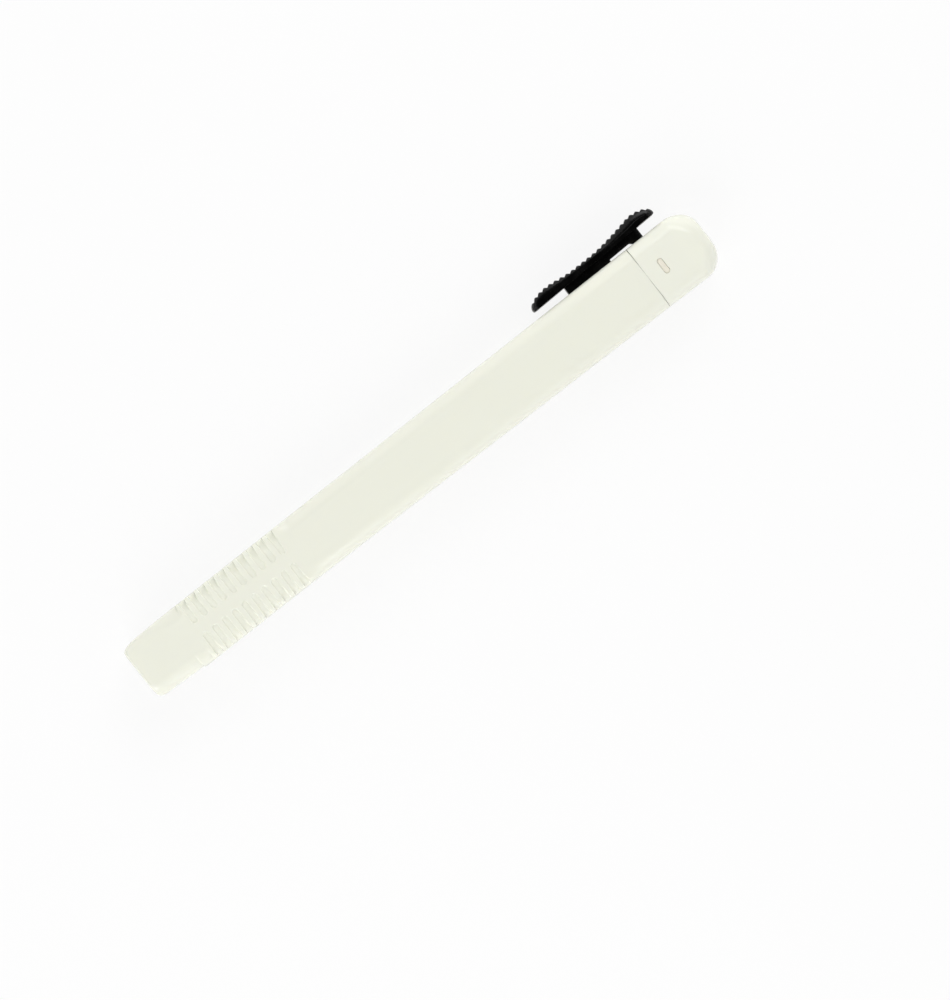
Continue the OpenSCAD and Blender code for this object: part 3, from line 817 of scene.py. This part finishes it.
def noise(tree, coord, scale, detail=2.0, rough=0.5, stretch=(1, 1, 1)):
    mapping = tree.nodes.new("ShaderNodeMapping")
    mapping.inputs["Scale"].default_value = stretch
    tree.links.new(coord.outputs["Object"], mapping.inputs["Vector"])
    n = tree.nodes.new("ShaderNodeTexNoise")
    n.inputs["Scale"].default_value = scale
    n.inputs["Detail"].default_value = detail
    n.inputs["Roughness"].default_value = rough
    tree.links.new(mapping.outputs["Vector"], n.inputs["Vector"])
    return n.outputs["Fac"]


def ranged(tree, value, lo, hi, from_lo=0.3, from_hi=0.7):
    """Runs from lo to hi while value runs from from_lo to from_hi."""
    n = tree.nodes.new("ShaderNodeMapRange")
    n.inputs["From Min"].default_value = from_lo
    n.inputs["From Max"].default_value = from_hi
    n.inputs["To Min"].default_value = lo
    n.inputs["To Max"].default_value = hi
    tree.links.new(value, n.inputs["Value"])
    return n.outputs["Result"]


def math_node(tree, operation, *values):
    """Math node; each value is a socket or a number."""
    n = tree.nodes.new("ShaderNodeMath")
    n.operation = operation
    for i, value in enumerate(values):
        if isinstance(value, float):
            n.inputs[i].default_value = value
        else:
            tree.links.new(value, n.inputs[i])
    return n.outputs[0]


def mix_shaders(tree, fac, a, b):
    n = tree.nodes.new("ShaderNodeMixShader")
    tree.links.new(fac, n.inputs["Fac"])
    tree.links.new(a, n.inputs[1])
    tree.links.new(b, n.inputs[2])
    return n.outputs[0]


def mottled(tree, fac, a, b):
    """Colour between a and b."""
    n = tree.nodes.new("ShaderNodeMix")
    n.data_type = "RGBA"
    n.inputs["A"].default_value = (*a, 1)
    n.inputs["B"].default_value = (*b, 1)
    tree.links.new(fac, n.inputs["Factor"])
    return n.outputs["Result"]


def bump(tree, height, distance, strength, below=None):
    n = tree.nodes.new("ShaderNodeBump")
    n.inputs["Distance"].default_value = distance
    n.inputs["Strength"].default_value = strength
    tree.links.new(height, n.inputs["Height"])
    if below is not None:
        tree.links.new(below, n.inputs["Normal"])
    return n.outputs["Normal"]


def under_skin(bsdf, weight, radius):
    """Light that enters and leaves the plastic again, with its reach in metres for red, green and blue."""
    bsdf.inputs["Subsurface Weight"].default_value = weight
    bsdf.inputs["Subsurface Radius"].default_value = radius
    bsdf.inputs["Subsurface Scale"].default_value = 1.0


def scaled(colour, factor):
    return tuple(c * factor for c in colour)


def cream_plastic(name, base):
    """Glossy moulded plastic: very faint flow mottling, a little depth, hairline wear and a fine skin."""
    mat, tree, bsdf, coord = nodes_of(name)
    shade = ranged(tree, noise(tree, coord, scale=90, detail=2), 0, 1)
    tree.links.new(mottled(tree, shade, scaled(base, 0.996), base), bsdf.inputs["Base Color"])
    wear = noise(tree, coord, scale=420, detail=3, rough=0.6)
    tree.links.new(ranged(tree, wear, 0.125, 0.145, 0.35, 0.75), bsdf.inputs["Roughness"])
    skin = bump(tree, noise(tree, coord, scale=5200, detail=2), distance=0.000003, strength=0.3)
    tree.links.new(skin, bsdf.inputs["Normal"])
    under_skin(bsdf, 0.1, (0.0012, 0.0011, 0.0008))
    bsdf.inputs["IOR"].default_value = 1.49
    return mat


def black_plastic(name, base, rough):
    """Satin black plastic: fine spark-eroded grain, slight polish marks."""
    mat, tree, bsdf, coord = nodes_of(name)
    shade = ranged(tree, noise(tree, coord, scale=300, detail=3), 0, 1)
    light = tuple(c * 1.5 + 0.0003 for c in base)
    tree.links.new(mottled(tree, shade, base, light), bsdf.inputs["Base Color"])
    polish = noise(tree, coord, scale=700, detail=2)
    tree.links.new(ranged(tree, polish, rough - 0.05, rough + 0.07), bsdf.inputs["Roughness"])
    flow = bump(tree, noise(tree, coord, scale=500, detail=1), distance=0.00001, strength=0.4)
    grain = noise(tree, coord, scale=9000, detail=2, rough=0.6)
    tree.links.new(bump(tree, grain, distance=0.000006, strength=0.45, below=flow), bsdf.inputs["Normal"])
    bsdf.inputs["IOR"].default_value = 1.5
    bsdf.inputs["Specular IOR Level"].default_value = 0.3
    return mat


def vinyl(name, base):
    """Soft matt vinyl: dusty skin, faint drawing lines along its length."""
    mat, tree, bsdf, coord = nodes_of(name)
    shade = ranged(tree, noise(tree, coord, scale=260, detail=4), 0, 1)
    tree.links.new(mottled(tree, shade, scaled(base, 0.965), base), bsdf.inputs["Base Color"])
    tree.links.new(ranged(tree, noise(tree, coord, scale=800, detail=3), 0.5, 0.68), bsdf.inputs["Roughness"])
    drawn = noise(tree, coord, scale=1500, detail=1, stretch=(0.03, 1, 1))
    lines = bump(tree, drawn, distance=0.00001, strength=0.5)
    dust = noise(tree, coord, scale=7000, detail=3, rough=0.6)
    tree.links.new(bump(tree, dust, distance=0.000008, strength=0.5, below=lines), bsdf.inputs["Normal"])
    under_skin(bsdf, 0.25, (0.0015, 0.0015, 0.0013))
    bsdf.inputs["IOR"].default_value = 1.45
    return mat


CREAM = (0.855, 0.862, 0.757)

cream_body = cream_plastic("cream_barrel", CREAM)
cream_cap = cream_plastic("cream_cap", scaled(CREAM, 1.014))
satin_black = black_plastic("satin_black", (0.0004, 0.0004, 0.0003), 0.22)
slider_black = black_plastic("slider_black", (0.012, 0.012, 0.012), 0.45)
white_vinyl = vinyl("white_vinyl", (0.86, 0.86, 0.85))
# Catch seen through the cap's windows: the cream plastic painted darker and warmer, as painted shade of the deep,
# narrow recess
catch_painted_shade = cream_plastic("catch_painted_shade", (0.845, 0.805, 0.69))


def dress(obj, material):
    obj.data.materials.clear()
    obj.data.materials.append(material)
    return obj


# Pieces on their bodies

barrel = make_barrel()
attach(barrel, "barrel")
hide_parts("barrel")

cap = dress(make_cap(), cream_cap)
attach(cap, "barrel")
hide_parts("end_cap")

lever = dress(make_lever(), satin_black)
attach(lever, "lever")
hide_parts("thumb_lever")

holder = dress(make_holder(), slider_black)
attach(holder, "slider")
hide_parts("eraser_holder")

strap = dress(make_strap(), slider_black)
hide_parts("flex_strap")
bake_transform(strap)

stick = dress(make_stick(), white_vinyl)
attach(stick, "eraser")
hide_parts("eraser_stick")


# Stage, light and camera, in metres

FLOOR_HALF = 1.6
# How bright the camera sees the floor, and how much of what it sees is that even white
FLOOR_WHITE, FLOOR_EVEN = 0.985, 0.86
TENT = 1.35
# The tent's brightness over the direction's height, from the horizon to straight overhead
TENT_OVERHEAD = ((0.0, 0.85), (0.3, 0.95), (0.55, 0.85), (0.88, 0.08), (1.0, 0.02))
# What is left of it past both ends of the pen, on the lever's side and on the other
TENT_ENDS, TENT_LEVER, TENT_OTHER = 0.6, 0.82, 0.88
AXIS = (0, 0, 0.0057)
# Soft boxes as (name, direction, distance, side, power): one near the mouth, one near the cap on the lever side,
# and two far ones
SOFT_BOXES = (
    ("near_mouth", (-0.34, -0.24, 0.33), 0.53, 0.38, 1.22),
    ("near_cap", (0.28, 0.28, 0.35), 0.53, 0.42, 1.34),
    ("far_a", (1, -1, 1.45), 1.0, 0.6, 0.5),
    ("far_b", (-1, 1, 1.45), 1.0, 0.6, 0.3),
)
# Small strip that draws the light line on the front half of the lower edge
STRIP_DIRECTION, STRIP_DISTANCE, STRIP_SIZE, STRIP_POWER = (0.0, -0.2, 0.094), 0.221, (0.01, 0.15), 0.014
STRIP_TOWARD, STRIP_TURN = (-0.037, 0, 0.0057), -math.radians(13.5)


def make_floor():
    """Plain pale floor. The camera sees it mostly evenly white, with the object's shadow still on it."""
    h = FLOOR_HALF
    floor = mesh_object("floor", [(-h, -h, 0), (h, -h, 0), (h, h, 0), (-h, h, 0)], [(0, 1, 2, 3)])
    mat, tree, bsdf, coord = nodes_of("pale_floor")
    tone = ranged(tree, noise(tree, coord, scale=60, detail=3), 0.955, 0.97)
    grey = tree.nodes.new("ShaderNodeCombineColor")
    for i in range(3):
        tree.links.new(tone, grey.inputs[i])
    diffuse = tree.nodes.new("ShaderNodeBsdfDiffuse")
    tree.links.new(grey.outputs["Color"], diffuse.inputs["Color"])
    white = tree.nodes.new("ShaderNodeEmission")
    white.inputs["Color"].default_value = (1, 1, 1, 1)
    white.inputs["Strength"].default_value = FLOOR_WHITE
    path = tree.nodes.new("ShaderNodeLightPath")
    seen = math_node(tree, "MAXIMUM", path.outputs["Is Camera Ray"], path.outputs["Is Transmission Ray"])
    share = math_node(tree, "MULTIPLY", seen, FLOOR_EVEN)
    surface = mix_shaders(tree, share, diffuse.outputs[0], white.outputs[0])
    tree.links.new(surface, tree.nodes["Material Output"].inputs["Surface"])
    tree.nodes.remove(bsdf)
    dress(floor, mat)


def make_world():
    """Light tent: even light from all round, dark straight overhead where the camera's opening is."""
    world = bpy.data.worlds.new("studio")
    bpy.context.scene.world = world
    world.use_nodes = True
    tree = world.node_tree
    tent = tree.nodes["Background"]
    tent.inputs["Color"].default_value = (1, 1, 1, 1)
    coord = tree.nodes.new("ShaderNodeTexCoord")
    axes = tree.nodes.new("ShaderNodeSeparateXYZ")
    tree.links.new(coord.outputs["Generated"], axes.inputs[0])
    ramp = tree.nodes.new("ShaderNodeValToRGB")
    ramp.color_ramp.interpolation = "EASE"
    stops = ramp.color_ramp.elements
    for place, _ in TENT_OVERHEAD[1:-1]:
        stops.new(place)
    for stop, (place, level) in zip(stops, TENT_OVERHEAD):
        stop.position, stop.color = place, (level, level, level, 1)
    tree.links.new(axes.outputs["Z"], ramp.inputs["Fac"])
    along = math_node(tree, "ABSOLUTE", axes.outputs["X"])
    ends = ranged(tree, along, TENT, TENT * TENT_ENDS, 0.1, 0.9)
    lever_side = ranged(tree, axes.outputs["Y"], 1.0, TENT_LEVER, 0.0, 0.8)
    other_side = ranged(tree, axes.outputs["Y"], TENT_OTHER, 1.0, -0.8, 0.0)
    sides = math_node(tree, "MULTIPLY", lever_side, other_side)
    round_about = math_node(tree, "MULTIPLY", ends, sides)
    strength = math_node(tree, "MULTIPLY", ramp.outputs["Color"], round_about)
    tree.links.new(strength, tent.inputs["Strength"])
    shown = tree.nodes.new("ShaderNodeBackground")
    shown.inputs["Color"].default_value = (1, 1, 1, 1)
    shown.inputs["Strength"].default_value = 1.0
    path = tree.nodes.new("ShaderNodeLightPath")
    surface = mix_shaders(tree, path.outputs["Is Camera Ray"], tent.outputs[0], shown.outputs[0])
    tree.links.new(surface, tree.nodes["World Output"].inputs["Surface"])


def area_light(name, direction, distance, size, power, toward=AXIS, turn=0.0):
    data = bpy.data.lights.new(name, "AREA")
    data.shape = "RECTANGLE"
    data.size, data.size_y = size
    data.energy = power
    lamp = bpy.data.objects.new(name, data)
    bpy.context.scene.collection.objects.link(lamp)
    d = Vector(direction).normalized()
    lamp.location = Vector(toward) + d * distance
    lamp.rotation_euler = (d.to_track_quat("Z", "Y").to_matrix() @ Matrix.Rotation(turn, 3, "Z")).to_euler()
    lamp.visible_camera = False


def make_lights():
    for name, direction, distance, side, power in SOFT_BOXES:
        area_light(name, direction, distance, (side, side), power)
    area_light("strip", STRIP_DIRECTION, STRIP_DISTANCE, STRIP_SIZE, STRIP_POWER, STRIP_TOWARD, STRIP_TURN)


# The camera looks straight down; the photograph's middle lies beside the object's middle
ROLL = math.radians(37.98)
PX = 0.16421 * MM
PX_HEIGHT = 11.05 * MM
MIDDLE_PX = (423.11, 453.43)
PHOTO_W, PHOTO_H = 950, 1000
LENS, SENSOR = 200.0, 36.0


def make_camera():
    """Camera from above. A pixel is PX wide at the height PX_HEIGHT, and the object's middle is at MIDDLE_PX."""
    data = bpy.data.cameras.new("camera")
    cam = bpy.data.objects.new("camera", data)
    bpy.context.scene.collection.objects.link(cam)
    data.sensor_width = SENSOR
    data.lens = LENS
    data.clip_start, data.clip_end = 0.01, 10
    dx, dy = (PHOTO_W / 2 - MIDDLE_PX[0]) * PX, (PHOTO_H / 2 - MIDDLE_PX[1]) * PX
    right = Vector((math.cos(ROLL), -math.sin(ROLL), 0))
    up = Vector((math.sin(ROLL), math.cos(ROLL), 0))
    distance = PX * PHOTO_H / 2 / (SENSOR / 2 / LENS)
    cam.location = right * dx - up * dy + Vector((0, 0, PX_HEIGHT + distance))
    cam.rotation_euler = Euler((0, 0, -ROLL))
    bpy.context.scene.camera = cam


make_floor()
make_world()
make_lights()
make_camera()
bpy.context.scene.view_settings.view_transform = "Standard"
